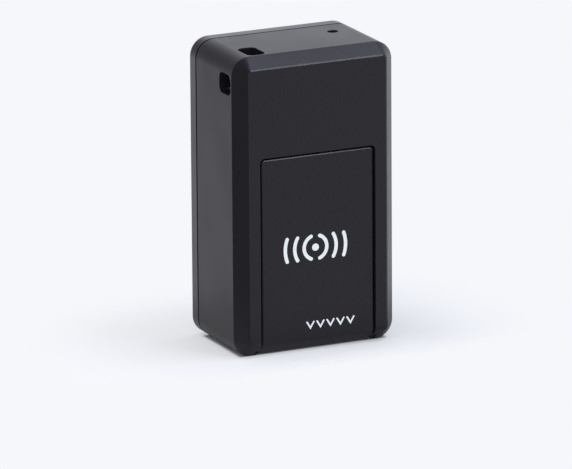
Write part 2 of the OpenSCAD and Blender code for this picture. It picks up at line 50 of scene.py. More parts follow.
def hexColour(code):
    # sRGB hex to linear: divided by 12.92 near black, a 2.4 power curve above it
    level = np.array([int(code[i:i + 2], 16) for i in (1, 3, 5)]) / 255
    linear = np.where(level > 0.04045, ((level + 0.055) / 1.055) ** 2.4, level / 12.92)
    return (*linear.tolist(), 1.0)


def addNode(tree, kind, settings=None, links=None):
    # settings are sockets or properties, links run from a socket to this node's own. Gives the
    # node's outputs
    node = tree.nodes.new("ShaderNode" + kind)
    for key, value in (settings or {}).items():
        if isinstance(key, int) or key in node.inputs:
            node.inputs[key].default_value = value
        else:
            setattr(node, key, value)
    for key, source in (links or {}).items():
        tree.links.new(source, node.inputs[key])
    return node.outputs


def newMaterial(name, settings):
    # One principled shader with its plain settings, and the object's own coordinates
    material = bpy.data.materials.new(name)
    material.use_nodes = True
    tree = material.node_tree
    shader = tree.nodes["Principled BSDF"]
    for key, value in settings.items():
        shader.inputs[key].default_value = value
    place = addNode(tree, "TexCoord")["Object"]
    return material, tree, shader, place


def shareOf(tree, *rows):
    # The product of its rows. A row is a value, the run from low to high that counts, and what
    # it gives at both ends
    total = None
    for value, low, high, first, last in rows:
        share = addNode(tree, "MapRange", {1: low, 2: high, 3: first, 4: last}, {0: value})[0]
        if total:
            share = addNode(tree, "Math", {"operation": "MULTIPLY"}, {0: total, 1: share})[0]
        total = share
    return total


usualBand = 0.3, 0.7  # the run of a noise pattern that counts


def madeOf(name, look):
    # Of three patterns the first turns the colour between two tones, within its band, the
    # second varies the roughness by the spread, and the third stands out by the relief. A
    # pattern is its kind, its size in millimetres, its settings and how it is drawn out. One
    # that isn't given is the one before it
    material, tree, shader, place = newMaterial(name,
            {"Roughness": look["roughness"], **look["plain"]})
    patterns, made = look["patterns"], []
    for pattern in patterns:
        if pattern in patterns[:len(made)]:
            made.append(made[patterns.index(pattern)])
            continue
        kind, size, settings, *lines = pattern
        where = place
        if lines:
            where = addNode(tree, "Mapping", {"Scale": lines[0]}, {"Vector": place})[0]
        drawn = addNode(tree, kind, {"Scale": 1000 / size, **settings}, {"Vector": where})
        made.append(drawn[1 if kind == "TexWave" else 0])
    tint, rough, raised = (made + made[-1:] * 2)[:3]
    tint = shareOf(tree, (tint, *look.get("band", usualBand), 0.0, 1.0))
    dark, light = (hexColour(tone) for tone in look["tones"])
    colour = addNode(tree, "Mix", {"data_type": "RGBA", 6: dark, 7: light}, {0: tint})[2]
    tree.links.new(colour, shader.inputs["Base Color"])
    if "spread" in look:
        ends = look["roughness"] - look["spread"], look["roughness"] + look["spread"]
        tree.links.new(shareOf(tree, (rough, *usualBand, *ends)), shader.inputs["Roughness"])
    if "etched" in look:
        raised = tint
        tree.links.new(tint, shader.inputs["Metallic"])
    if "relief" in look:
        deep = look.get("deep", 0.02) / 1000
        bump = addNode(tree, "Bump", {"Strength": look["relief"], "Distance": deep},
                {"Height": raised})
        tree.links.new(bump[0], shader.inputs["Normal"])
    return material


def sparkedAbs(name, look):
    # Black ABS from a spark-eroded mould: an even grain of a quarter millimetre, satin, with a
    # broad soft sheen, and a touch greyer where fingers polish it
    grain, cloud = ("TexNoise", 0.25, {"Detail": 3.0}), ("TexNoise", 9, {"Detail": 2.0})
    return madeOf(name, {"patterns": [grain, cloud, grain], "spread": 0.025, "deep": 0.05,
            "plain": {"IOR": 1.5}, **look})


caseBlack = sparkedAbs("spark-eroded black ABS, case", {"tones": ("#1b1a20", "#201f26"),
        "roughness": 0.42, "relief": 0.45})
plateBlack = sparkedAbs("smoother black ABS, back plate", {"tones": ("#1c1b21", "#232229"),
        "roughness": 0.35, "plain": {"IOR": 1.56}, "relief": 0.05})
edgeBlack = sparkedAbs("black ABS, burnished edges", {"tones": ("#1c1b21", "#232229"),
        "roughness": 0.2, "relief": 0.03})
coverBlack = sparkedAbs("spark-eroded black ABS, cover", {"tones": ("#1b1a20", "#1f1e25"),
        "roughness": 0.44, "relief": 0.45})


def mouldedPlastic(name, look):
    # Injection-moulded polymer: one colour through and through, faint flow clouds a few
    # millimetres wide and a fine grain from the tool that takes the gloss off
    flow = ("TexNoise", 3, {"Detail": 3.0, "Distortion": 0.6})
    grain = ("TexNoise", look["grain"], {"Detail": 2.0})
    return madeOf(name, {"patterns": [flow, grain], "spread": 0.05, "deep": 0.03,
            "plain": {"IOR": look.get("ior", 1.5)}, **look})


socketBlack = mouldedPlastic("glass-filled black polymer, sockets",
        {"tones": ("#18181a", "#222225"), "roughness": 0.5, "grain": 0.2, "relief": 0.3})
switchBlack = mouldedPlastic("black nylon, switch body", {"tones": ("#202023", "#2b2b2f"),
        "roughness": 0.45, "grain": 0.25, "relief": 0.25})
stemWhite = mouldedPlastic("white acetal, button", {"tones": ("#d2cfc7", "#e2dfd8"),
        "roughness": 0.35, "grain": 0.3, "relief": 0.15, "ior": 1.48})
cardWhite = mouldedPlastic("white card stock", {"tones": ("#e4e2dd", "#ecebe6"),
        "roughness": 0.32, "grain": 0.35, "relief": 0.1})
cardBlack = mouldedPlastic("black moulded card", {"tones": ("#19191b", "#222225"),
        "roughness": 0.36, "grain": 0.2, "relief": 0.2})
bootBlack = mouldedPlastic("soft silicone boot", {"tones": ("#1c1c1f", "#252529"),
        "roughness": 0.62, "grain": 0.3, "relief": 0.3, "ior": 1.41})


def workedMetal(name, look):
    # Sheet, plated or turned metal: lines a tenth of a millimetre apart run the way it was
    # rolled, drawn coarser than real so that they show, with a slow cloud of handling over them
    cloud = ("TexNoise", 2.5, {"Detail": 3.0})
    line = ("TexNoise", 0.12, {"Detail": 2.0}, look["lines"])
    return madeOf(name, {"patterns": [cloud, line], "spread": 0.08, "deep": 0.01,
            "plain": {"Metallic": 0.8}, **look})


socketSteel = workedMetal("rolled stainless sheet", {"tones": ("#b9bbbe", "#d2d4d6"),
        "roughness": 0.3, "lines": (1.0, 1.0, 0.04), "relief": 0.3})
portSteel = workedMetal("drawn nickel-plated sheet", {"tones": ("#c3c2bd", "#d8d7d2"),
        "roughness": 0.26, "lines": (0.06, 1.0, 1.0), "relief": 0.2})
goldPlate = workedMetal("gold plate over nickel", {"tones": ("#d9a94c", "#ecc574"),
        "roughness": 0.24, "lines": (1.0, 1.0, 0.1), "relief": 0.15})
canAluminium = workedMetal("drawn aluminium can", {"tones": ("#b4b6b9", "#cccfd2"),
        "roughness": 0.34, "lines": (1.0, 1.0, 0.08), "relief": 0.25})
tinPlate = workedMetal("tinned sheet", {"tones": ("#b2b4b5", "#cbccce"), "roughness": 0.4,
        "lines": (0.1, 1.0, 1.0), "relief": 0.3})
magnetNickel = workedMetal("nickel-plated magnet", {"tones": ("#c3c1bc", "#cdcbc6"),
        "roughness": 0.2, "lines": (0.08, 1.0, 1.0), "relief": 0.12})
screwZinc = workedMetal("zinc-plated screw steel", {"tones": ("#8f9297", "#b4b7bb"),
        "roughness": 0.36, "lines": (1.0, 0.1, 1.0), "relief": 0.3})


def extrudedPvc(name, tones):
    # Extruded PVC on a thin lead: smooth, waxy, with faint rings from the extruder
    rings = ("TexWave", 2.4, {"Distortion": 2.0, "bands_direction": "Z"})
    return madeOf(name, {"tones": tones, "roughness": 0.38, "plain": {"IOR": 1.53},
            "patterns": [rings], "band": (0, 1), "relief": 0.15})


wireRed = extrudedPvc("red PVC lead", ("#98201b", "#b72a23"))
wireBlack = extrudedPvc("black PVC lead", ("#161618", "#222224"))

# White pad-printing ink: flat, slightly bluish, a thin film with faint pinholes
inkWhite = madeOf("white pad-print ink", {"tones": ("#d3dce4", "#eef4fa"), "roughness": 0.5,
        "plain": {"IOR": 1.48}, "patterns": [("TexNoise", 0.2, {"Detail": 2.0})],
        "band": (0.25, 0.45), "relief": 0.1})

# Moulded chip package: black filled epoxy, matt, with the sparkle of its silica filler
chipBlack = madeOf("silica-filled epoxy, chip package", {"tones": ("#3a3a3d", "#1b1b1d"),
        "roughness": 0.6, "plain": {"IOR": 1.54}, "patterns": [("TexVoronoi", 0.16, {})],
        "band": (0.1, 0.5), "relief": 0.3})

# Fired ceramic of the small chip parts: tan, sugary grain, dull
ceramicTan = madeOf("fired tan ceramic", {"tones": ("#8a6238", "#b98c58"), "roughness": 0.55,
        "plain": {"IOR": 1.6}, "patterns": [("TexNoise", 0.15, {"Detail": 3.0})], "relief": 0.3})

# Clear epoxy cast over white: glossy, slightly milky, warmer towards the chip in it
lensMilky = madeOf("milky epoxy lens", {"tones": ("#e9e3c4", "#f4f1e2"), "roughness": 0.12,
        "plain": {"IOR": 1.53, "Subsurface Weight": 0.2},
        "patterns": [("TexNoise", 0.7, {"Detail": 1.0})]})

# Aluminium-laminated pouch of the cell: a dull silver with pressed wrinkles
cellFoil = madeOf("aluminium-laminated foil pouch", {"tones": ("#a4a9ae", "#cdd1d5"),
        "roughness": 0.34, "plain": {"Metallic": 1.0},
        "patterns": [("TexNoise", 4, {"Detail": 4.0, "Distortion": 1.5})], "band": (0, 1),
        "relief": 0.6, "deep": 0.15})

# Pressed insulating paper: short fibres in all directions, soft and dull
sheetCream = madeOf("pressed fibre sheet", {"tones": ("#c9c2a4", "#e2dcc2"), "roughness": 0.85,
        "plain": {"IOR": 1.45}, "relief": 0.4, "deep": 0.04,
        "patterns": [("TexNoise", 0.5, {"Detail": 5.0, "Distortion": 3.0})]})

# White double-sided foam tape: cells of a third of a millimetre show as pits
tapeWhite = madeOf("white closed-cell foam", {"tones": ("#d6d3c9", "#efede6"), "roughness": 0.8,
        "plain": {"IOR": 1.45}, "patterns": [("TexVoronoi", 0.35, {})], "band": (0.1, 0.6),
        "relief": 0.5, "deep": 0.05})

# Polyimide film with an etched copper pattern: amber gloss, the copper in even stripes
filmAmber = madeOf("polyimide film with etched copper", {"tones": ("#8f5518", "#c98a4e"),
        "roughness": 0.25, "plain": {"IOR": 1.7}, "etched": True, "relief": 0.4,
        "patterns": [("TexWave", 6.5, {"Distortion": 0.0, "bands_direction": "Z"})],
        "band": (0.45, 0.55)})

laminate = {"mask": ("#1d6a44", "#1a6340"), "gap": "#0f4a2f", "tin": "#b9babc", "edge": "#a9a273",
            "track": 3.7, "pitch": 0.5, "groove": 0.09, "dots": 2.3, "dot": (0.09, 0.11),
            "cloud": 4, "facing": (0.4, 0.6), "relief": 0.5, "deep": 0.03}


def maskedLaminate():
    # Printed board: glossy green solder mask over glass epoxy. Copper under the mask reads as
    # lighter tracks half a millimetre apart, tinned dots mark where they pass through, and the
    # milled edge shows the pale laminate
    material, tree, shader, place = newMaterial("green solder mask on glass epoxy",
            {"Roughness": 0.3, "IOR": 1.52})
    part = addNode(tree, "SeparateXYZ", {}, {0: place})
    flat = addNode(tree, "CombineXYZ", {}, {0: part[2], 1: part[0]})[0]
    first, second = (hexColour(tone) for tone in laminate["mask"])
    tracks = addNode(tree, "TexBrick", {"Scale": 1000.0, "Brick Width": laminate["track"],
            "Row Height": laminate["pitch"], "Mortar Size": laminate["groove"],
            "Mortar Smooth": 0.2, "Color1": first, "Color2": second,
            "Mortar": hexColour(laminate["gap"])}, {"Vector": flat})
    dots = addNode(tree, "TexVoronoi", {"Scale": 1000 / laminate["dots"], "Randomness": 0.7,
            "voronoi_dimensions": "2D"}, {"Vector": flat})
    dots = shareOf(tree, (dots["Distance"], *laminate["dot"], 1.0, 0.0))
    cloud = addNode(tree, "TexNoise", {"Scale": 1000 / laminate["cloud"], "Detail": 2.0},
            {"Vector": place})[0]
    colour = addNode(tree, "Mix", {"data_type": "RGBA", "blend_type": "MULTIPLY", 0: 0.5},
            {6: tracks["Color"], 7: cloud})[2]
    colour = addNode(tree, "Mix", {"data_type": "RGBA", 7: hexColour(laminate["tin"])},
            {0: dots, 6: colour})[2]
    normal = addNode(tree, "NewGeometry")["Normal"]
    facing = addNode(tree, "SeparateXYZ", {}, {0: normal})[1]
    facing = addNode(tree, "Math", {"operation": "ABSOLUTE"}, {0: facing})[0]
    facing = shareOf(tree, (facing, *laminate["facing"], 0.0, 1.0))
    colour = addNode(tree, "Mix", {"data_type": "RGBA", 6: hexColour(laminate["edge"])},
            {0: facing, 7: colour})[2]
    tree.links.new(colour, shader.inputs["Base Color"])
    bump = addNode(tree, "Bump", {"Strength": laminate["relief"],
            "Distance": laminate["deep"] / 1000}, {"Height": tracks["Fac"]})
    tree.links.new(bump[0], shader.inputs["Normal"])
    return material


boardGreen = maskedLaminate()
print("materials made")


def newPiece(name, points, faces, material=None):
    # Points in millimetres, faces as rows of point numbers, made to point outwards
    mesh = bpy.data.meshes.new(name)
    mesh.from_pydata((np.asarray(points) / 1000).tolist(), [], np.asarray(faces).tolist())
    work = bmesh.new()
    work.from_mesh(mesh)
    bmesh.ops.recalc_face_normals(work, faces=work.faces)
    return placeMesh(work, name, mesh, material)


def placeMesh(work, name, mesh=None, material=None):
    # What was worked on becomes a piece of the scene
    mesh = mesh or bpy.data.meshes.new(name)
    work.to_mesh(mesh)
    work.free()
    piece = bpy.data.objects.new(name, mesh)
    scene.collection.objects.link(piece)
    if material:
        mesh.materials.append(material)
    return piece


def merged(mesh, apart=2e-6):
    # The mesh opened to be worked on, with points joined that lie closer than this, in metres
    work = bmesh.new()
    work.from_mesh(mesh)
    bmesh.ops.remove_doubles(work, verts=work.verts, dist=apart)
    return work


def stance(axes, place):
    # Own x, y and z run along the three axes, from a place in metres
    turn = np.eye(4)
    turn[:3, :3], turn[:3, 3] = np.array(axes).T, place
    return Matrix(turn.tolist())


def outline(width, foot, top, radius, steps=12, levels=(), roundFoot=True):
    # Half a round-cornered rectangle from its foot up the left side to its top, then its
    # mirror: the corners' centres, the outward normals and the radius
    turn = np.linspace(0, np.pi / 2, steps + 1)
    side = -width / 2 + radius
    centres, normals = [], []
    if roundFoot:
        centres.append(np.tile([side, foot + radius], (steps + 1, 1)))
        normals.append(np.stack([-np.sin(turn), -np.cos(turn)], 1))
    else:
        centres.append(np.array([[side, foot]]))
        normals.append(np.array([[-1.0, 0.0]]))
    if len(levels):
        centres.append(np.stack([np.full(len(levels), side), levels], 1))
        normals.append(np.tile([-1.0, 0.0], (len(levels), 1)))
    centres.append(np.tile([side, top - radius], (steps + 1, 1)))
    normals.append(np.stack([-np.cos(turn), np.sin(turn)], 1))
    centres, normals = np.concatenate(centres), np.concatenate(normals)
    mirror = np.array([-1.0, 1.0])
    return (np.concatenate([centres, centres[::-1] * mirror]),
            np.concatenate([normals, normals[::-1] * mirror]), radius)


def profile(corners, steps=5):
    # Line through (depth, inset, radius) corners, each radius an arc that touches both lines
    points = []
    for i, (depth, inset, radius) in enumerate(corners):
        here = np.array([depth, inset], float)
        if radius == 0:
            points.append(here[None])
            continue
        before = np.array(corners[i - 1][:2]) - here
        after = np.array(corners[i + 1][:2]) - here
        before, after = before / np.linalg.norm(before), after / np.linalg.norm(after)
        half = math.acos(np.clip(before @ after, -1, 1)) / 2
        centre = here + (before + after) / np.linalg.norm(before + after) * radius / math.sin(half)
        first = here + before * radius / math.tan(half) - centre
        last = here + after * radius / math.tan(half) - centre
        sweep = math.pi - 2 * half
        share = np.linspace(0, 1, steps + 1)[:, None]
        points.append(centre + (np.sin((1 - share) * sweep) * first
                + np.sin(share * sweep) * last) / math.sin(sweep))
    return np.concatenate(points)


def loft(name, path, line, shift=0.0, corners=None):
    # Point = centre + (radius - inset) * normal at each depth of the line, plus the shift
    # in depth. Where the corners are tighter than that, their centres move outwards by the
    # difference. Rows across close both ends.
    centres, normals, radius = path
    line = np.asarray(line, float)
    reach = radius - line[:, 1]
    corners = reach if corners is None else corners
    away = np.sign(centres - centres.mean(0))
    flat = (centres[None] + (reach - corners)[:, None, None] * away
            + corners[:, None, None] * normals[None])
    depth = np.repeat(line[:, 0][:, None], len(centres), 1) + shift
    points = np.stack([flat[..., 0], depth, flat[..., 1]], -1).reshape(-1, 3)
    count, rings = len(centres), len(line)
    i = np.arange(count)
    j = (i + 1) % count
    ring = np.arange(rings - 1)[:, None] * count
    sides = np.stack([ring + i, ring + j, ring + count + j, ring + count + i], -1).reshape(-1, 4)
    i = np.arange(count // 2 - 1)
    cap = np.stack([i, i + 1, count - 2 - i, count - 1 - i], 1)
    faces = np.concatenate([sides, cap[:, ::-1], cap + (rings - 1) * count])
    return newPiece(name, points, faces)


def carved(name, path, line, face, back):
    # A loft whose depths count from a face that isn't flat, and end on the back
    line = np.asarray(line, float)
    depth = np.minimum(line[:, 0][:, None] + face, back)
    depth[-1] = back
    return loft(name, path, line, depth - line[:, 0][:, None])


def mouthLine(mouth, start, before, flare, reach):
    # The way into an opening with a rounded mouth: a quarter circle, begun at some degrees so
    # that it cuts the face cleanly, then straight in
    turn = np.radians([start, 30, 50, 70, 90])
    arc = np.stack([mouth * (1 - np.cos(turn)), -mouth * (1 - np.sin(turn))], 1)
    return np.concatenate([[[-before, -mouth - flare]], arc, [[reach, 0]]])


def box(name, x, y, z):
    # The eight corners of three runs, each a pair of low and high
    corners = np.array([[a, b, c] for a in x for b in y for c in z])
    faces = [[0, 1, 3, 2], [4, 6, 7, 5], [0, 4, 5, 1], [2, 3, 7, 6], [0, 2, 6, 4], [1, 5, 7, 3]]
    return newPiece(name, corners, faces)


def disc(name, x, z, diameter, line):
    # A turned piece: a circle carried along the line of (depth, inset)
    radius = diameter / 2
    piece = loft(name, outline(diameter, -radius, radius, radius, steps=16), line)
    piece.data.transform(stance(np.eye(3), (x / 1000, 0, z / 1000)))
    return piece


def combine(piece, other, operation="DIFFERENCE"):
    # Exact Boolean with another solid, which is then gone. Seams that it leaves open by a
    # rounding error close, or the next one would fail
    step = piece.modifiers.new(operation.lower(), "BOOLEAN")
    step.operation, step.object, step.solver = operation, other, "EXACT"
    bpy.context.view_layer.update()
    graph = bpy.context.evaluated_depsgraph_get()
    mesh = bpy.data.meshes.new_from_object(piece.evaluated_get(graph))
    piece.modifiers.clear()
    work = merged(mesh, apart=1e-7)
    work.to_mesh(mesh)
    work.free()
    old, piece.data = piece.data, mesh
    bpy.data.meshes.remove(old)
    bpy.data.objects.remove(other)


def finishSolid(piece, name, material, angle=32, edges=None):
    # Merge what the Booleans left double, then smooth all but the sharp edges. Faces that the
    # edges function picks take the burnished finish
    mesh = piece.data
    work = merged(mesh)
    bmesh.ops.dissolve_degenerate(work, edges=work.edges, dist=1e-6)
    loose = sum(1 for edge in work.edges if len(edge.link_faces) != 2)
    work.to_mesh(mesh)
    work.free()
    mesh.name = piece.name = name
    mesh.materials.clear()
    mesh.materials.append(material)
    if edges:
        mesh.materials.append(edgeBlack)
        normals, centres = (np.empty(len(mesh.polygons) * 3) for i in range(2))
        mesh.polygons.foreach_get("normal", normals)
        mesh.polygons.foreach_get("center", centres)
        chosen = edges(normals.reshape(-1, 3), centres.reshape(-1, 3) * 1000)
        mesh.polygons.foreach_set("material_index", chosen.astype(np.int32))
    mesh.shade_smooth()
    mesh.set_sharp_from_angle(angle=math.radians(angle))
    weigh = piece.modifiers.new("even shading", "WEIGHTED_NORMAL")
    weigh.keep_sharp = True
    print(name, len(mesh.polygons), "faces,", loose, "open edges")
    return piece


def stand(piece, node, body="root"):
    # The piece takes the node's place, if it has one
    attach(piece, body)
    if node:
        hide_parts(node)


# The case: its outline, bevel and wall. Depths run along y, from the face at the front. Then
# its hollow, the pocket and grooves for the cover, the window over the sockets, the lanyard's
# passage with the block that walls it in, the sound hole, the port opening and the catches
case = {"width": 24.6, "height": 43.0, "corner": 2.7, "front": -7.8, "back": 7.8,
        "bevelFace": 1.6, "bevelDepth": 1.8, "wall": 1.2, "rim": 5.56, "seam": 5.84,
        "faceCorner": 0.55, "ring": 0.6, "ringCorner": 0.2, "edge": 0.15, "crest": 0.26,
        "lip": 0.05, "draft": 0.02, "rear": 0.16}
hollow = {"front": -5.05, "chamfer": 0.3, "corner": 0.2, "upper": 0.9, "upperFoot": 30.244,
          "upperFront": -6.4, "upperCorner": 0.6}
pocket = {"width": 17.7, "top": 28.6, "corner": 0.65, "floor": -6.05, "mouth": 0.08,
          "footWidth": 17.6, "footFloor": -5.35, "footTop": 0.9, "grooveWidth": 18.7,
          "grooveTop": 29.044, "groove": -7.05, "grooveCorner": 0.8}
window = {"width": 16.6, "sill": 5.2, "top": 25.644, "corner": 0.8,
          "line": [(-6.55, -0.4), (-6.05, -0.1), (-5.95, 0), (-4.45, 0)]}
loopHole = {"x": (-9.4, -6.7), "y": (-5.65, -1.25), "sideY": (-5.65, -2.05), "z": (37.5, 40.42),
            "corner": 0.9, "mouth": 0.08, "down": 4.2, "inward": 4.6, "trim": 0.9,
            "block": ((-12.3, -5.8), (-6.7, -0.35), (36.6, 43)), "low": (-12.2, -5.7, 37.4),
            "high": (-6.6, -1.2, 42.9)}
soundHole = {"size": (1.5, 1.5), "corner": 0.75, "steps": 12, "mouth": 0.08,
             "place": (7.0, 1.85, 43.0)}
portHole = {"size": (8.2, 3.2), "corner": 0.7, "steps": 8, "mouth": 0.15, "place": (0, 0.55, 0)}
catch = {"x": 5.55, "half": 1.6, "y": (4.5, 5.3), "z": (41.3, 42.25)}
# x, z, diameter and a line of (depth, inset)
studs = {"boss": (7.0, 3.0, 4.0, [(-5.55, 0), (-1.7, 0)]),
         "post": (9.7, 28.944, 2.0, [(-5.55, 0), (-1.7, 0)]),
         "pin": (9.7, 28.944, 1.0, [(-2.2, 0), (-0.8, 0), (-0.7, 0.1)])}
bores = {"head recess": (7.0, 3.0, 2.8, [(-6.55, 0), (-5.15, 0)]),
         "shank hole": (7.0, 3.0, 1.6, [(-5.6, 0), (-1.2, 0)])}


def casePath(inset=0.0):
    # The case's outline seen from the front, moved inwards
    return outline(case["width"] - 2 * inset, inset, case["height"] - inset,
            case["corner"] - inset, steps=14)


def faceLine(z):
    # Depth of the case's face at a height: flat, then back along the bottom bevel
    slope = case["bevelDepth"] / case["bevelFace"]
    return case["front"] + np.clip(case["bevelFace"] - z, 0, None) * slope


def opening(shell, name, size, corner, steps, line, axes, place):
    # A hole through a wall: the second axis points in, from a place on the case
    wide, tall = size
    hole = loft(name, outline(wide, -tall / 2, tall / 2, corner, steps), line)
    hole.data.transform(stance(axes, np.array(place) / 1000))
    combine(shell, hole)


def turned(piece, parts, side, operation):
    # Turned studs or bores on one side of the middle
    for name, (x, z, diameter, line) in parts.items():
        combine(piece, disc(name, side * x, z, diameter, line), operation)


def clip(name, side, part):
    # Block that holds the shells together at the top
    middle = side * part["x"]
    return box(name, (middle - part["half"], middle + part["half"]), part["y"], part["z"])


def frontShell():
    # A tray: the case's outline lofted from the face over the bevel to the seam, then hollowed.
    # The bevel runs from the case's round corners to nearly square ones round the face
    front, bevel, ring, floor = case["front"], case["bevelFace"], case["ring"], pocket["floor"]
    bend = front + case["bevelDepth"]
    crest = profile([(front, bevel + ring, 0), (front, bevel, case["crest"]), (bend, 0, 0)], 1)
    flank = profile([(front, bevel, 0), (bend, 0, case["edge"]), (case["rim"], 0, case["lip"]),
            (case["rim"], ring, 0)])
    line = np.concatenate([crest[:-1], flank[1:]])
    corners = np.where(line[:, 0] < bend, np.interp(line[:, 1], [0, bevel, bevel + ring],
            [case["corner"], case["faceCorner"], case["ringCorner"]]),
            case["corner"] - line[:, 1])
    shell = loft("shell", casePath(), line, corners=corners)
    inside = hollow["front"]
    combine(shell, loft("cavity", casePath(case["wall"]),
            profile([(inside, hollow["chamfer"], 0), (inside, 0, hollow["corner"]),
            (case["rim"] + 1, 0, 0)])))
    inset = case["wall"] + hollow["upper"]
    combine(shell, loft("upper cavity", outline(case["width"] - 2 * inset, hollow["upperFoot"],
            case["height"] - inset, hollow["upperCorner"], steps=6, roundFoot=False),
            [(hollow["upperFront"], 0), (inside + 0.5, 0)]))
    # Wall round the lanyard's passage, trimmed to the case's inside
    block = box("block", *loopHole["block"])
    combine(block, loft("trim", casePath(loopHole["trim"]), [(front, 0), (case["back"], 0)]),
            "INTERSECT")
    combine(shell, block, "UNION")
    for side in (-1, 1):
        turned(shell, studs, side, "UNION")
    # Pocket with a rounded mouth that follows the face down the bevel, then grooves and window
    levels = np.concatenate([[-1.0], np.linspace(bevel - 0.2, bevel + 0.2, 5)])
    path = outline(pocket["width"], -2.0, pocket["top"], pocket["corner"], 8, levels,
            roundFoot=False)
    line = mouthLine(pocket["mouth"], start=8, before=0.6, flare=0.3, reach=2.0)
    combine(shell, carved("pocket", path, line, faceLine(path[0][:, 1]), floor))
    half = pocket["footWidth"] / 2
    combine(shell, box("foot of the pocket", (-half, half), (floor - 0.5, pocket["footFloor"]),
            (-1, pocket["footTop"])))
    combine(shell, loft("groove", outline(pocket["grooveWidth"], -1, pocket["grooveTop"],
            pocket["grooveCorner"], 8, roundFoot=False), [(pocket["groove"], 0), (floor, 0)]))
    combine(shell, loft("window", outline(window["width"], window["sill"], window["top"],
            window["corner"], 8), window["line"]))
    # The lanyard's openings in the top and the left side, the sound hole in the top, and the
    # charging port's opening in the bottom
    down = ((1, 0, 0), (0, 0, -1), (0, 1, 0))
    inward = ((0, -1, 0), (1, 0, 0), (0, 0, 1))
    up = ((-1, 0, 0), (0, 0, 1), (0, 1, 0))
    x, y, sideY, z = (loopHole[key] for key in ("x", "y", "sideY", "z"))
    for name, wide, tall, reach, axes, place in (
            ("top opening", x, y, loopHole["down"], down,
             (np.mean(x), np.mean(y), case["height"])),
            ("side opening", sideY, z, loopHole["inward"], inward,
             (-case["width"] / 2, np.mean(sideY), np.mean(z)))):
        line = mouthLine(loopHole["mouth"], start=10, before=0.5, flare=0.2, reach=reach)
        opening(shell, name, (np.ptp(wide), np.ptp(tall)), loopHole["corner"], 8, line, axes,
                place)
    for name, hole, axes in (("sound hole", soundHole, down), ("port opening", portHole, up)):
        mouth = hole["mouth"]
        opening(shell, name, hole["size"], hole["corner"], hole["steps"],
                [(-0.5, -mouth * 2), (0, -mouth), (mouth, 0), (1.7, 0)], axes, hole["place"])
    for side in (-1, 1):
        combine(shell, clip("catch", side, catch))
        turned(shell, bores, side, "DIFFERENCE")
    tilt = math.cos(math.atan2(case["bevelFace"], case["bevelDepth"]))

    def burnished(normals, centres):
        # Between the face's normal and the bevel's, and the walls of the lanyard's passage
        bend = ((centres[:, 1] < front + 0.3) & (normals[:, 1] > -0.999)
                & (normals[:, 1] < -tilt - 0.005))
        passage = (centres > loopHole["low"]) & (centres < loopHole["high"])
        return bend | passage.all(1)

    return finishSolid(shell, "frontCaseMoulding", caseBlack, angle=21, edges=burnished)


stand(frontShell(), "front_shell")

backPlate = {"ring": 1.9, "lipDepth": 1.2, "lipInset": 1.3, "lipWall": 0.8, "spacing": 18.0,
             "pad": 11.2, "padFront": 5.3, "hole": 10.1,
             "holeLine": [(6.25, 0), (7.65, 0), (7.8, -0.15), (8.3, -0.6)]}
backStuds = {"boss": (7.0, 3.0, 3.4, [(-0.7, 0), (case["seam"] + 0.5, 0)])}
backBores = {"screw bore": (7.0, 3.0, 1.5, [(-1.2, 0), (3.0, 0)])}
hook = {"x": 5.55, "half": 1.5, "y": (4.6, 5.2), "z": (41.3, 42.15)}


def backShell():
    # The case's outline lofted from the seam to the back, with a lip inside the front shell
    seam, back, inset = case["seam"], case["back"], backPlate["lipInset"]
    plate = loft("plate", casePath(), profile([(seam, case["ring"], 0), (seam, 0, case["lip"]),
            (back, case["draft"], case["rear"]), (back, backPlate["ring"], 0)]))
    start = seam - backPlate["lipDepth"]
    rim = loft("lip", casePath(inset), profile([(start, 0.4, 0), (start, 0, 0.15),
            (seam + 0.5, 0, 0)]))
    combine(rim, loft("inside", casePath(inset + backPlate["lipWall"]),
            [(seam - 2, 0), (seam + 0.2, 0)]))
    combine(plate, rim, "UNION")
    for side in (-1, 1):
        combine(plate, clip("hook", side, hook), "UNION")
        turned(plate, backStuds, side, "UNION")
        z = case["height"] / 2 + side * backPlate["spacing"] / 2
        combine(plate, disc("pad", 0, z, backPlate["pad"], [(backPlate["padFront"], 0),
                (seam + 0.5, 0)]), "UNION")
        combine(plate, disc("magnet pocket", 0, z, backPlate["hole"], backPlate["holeLine"]))
        turned(plate, backBores, side, "DIFFERENCE")
    return finishSolid(plate, "backCaseMoulding", plateBlack)


stand(backShell(), "back_shell")

# Heights and depths of the sliding cover: its plate, and the flange that runs in the grooves
cover = {"width": 17.1, "top": 28.294, "corner": 0.35, "front": -7.6, "back": -6.2, "edge": 0.12,
         "flangeFront": -6.9, "flangeWidth": 18.3, "flangeTop": 28.894, "flangeFoot": 0.58,
         "flangeCorner": 0.8, "foot": 0.06, "footBack": -5.5, "footTop": (0.74, 0.8),
         "turn": 0.25, "sunk": 0.2, "bendTop": 3.4, "thin": 0.02, "overlap": 0.001,
         "polishedFrom": 4.0}


def coverLine(z):
    # Depth of the cover's face: flat, then parallel to the case's bevel. The bend between them
    # is soft: slope * turn * ln(1 + e^(4 / turn * distance below it)) / 4
    slope = case["bevelDepth"] / case["bevelFace"]
    bend = case["bevelFace"] + cover["sunk"] * (math.hypot(slope, 1) - 1) / slope
    below = (bend - z) / cover["turn"] * 4
    return cover["front"] + slope * cover["turn"] * np.logaddexp(0, below) / 4


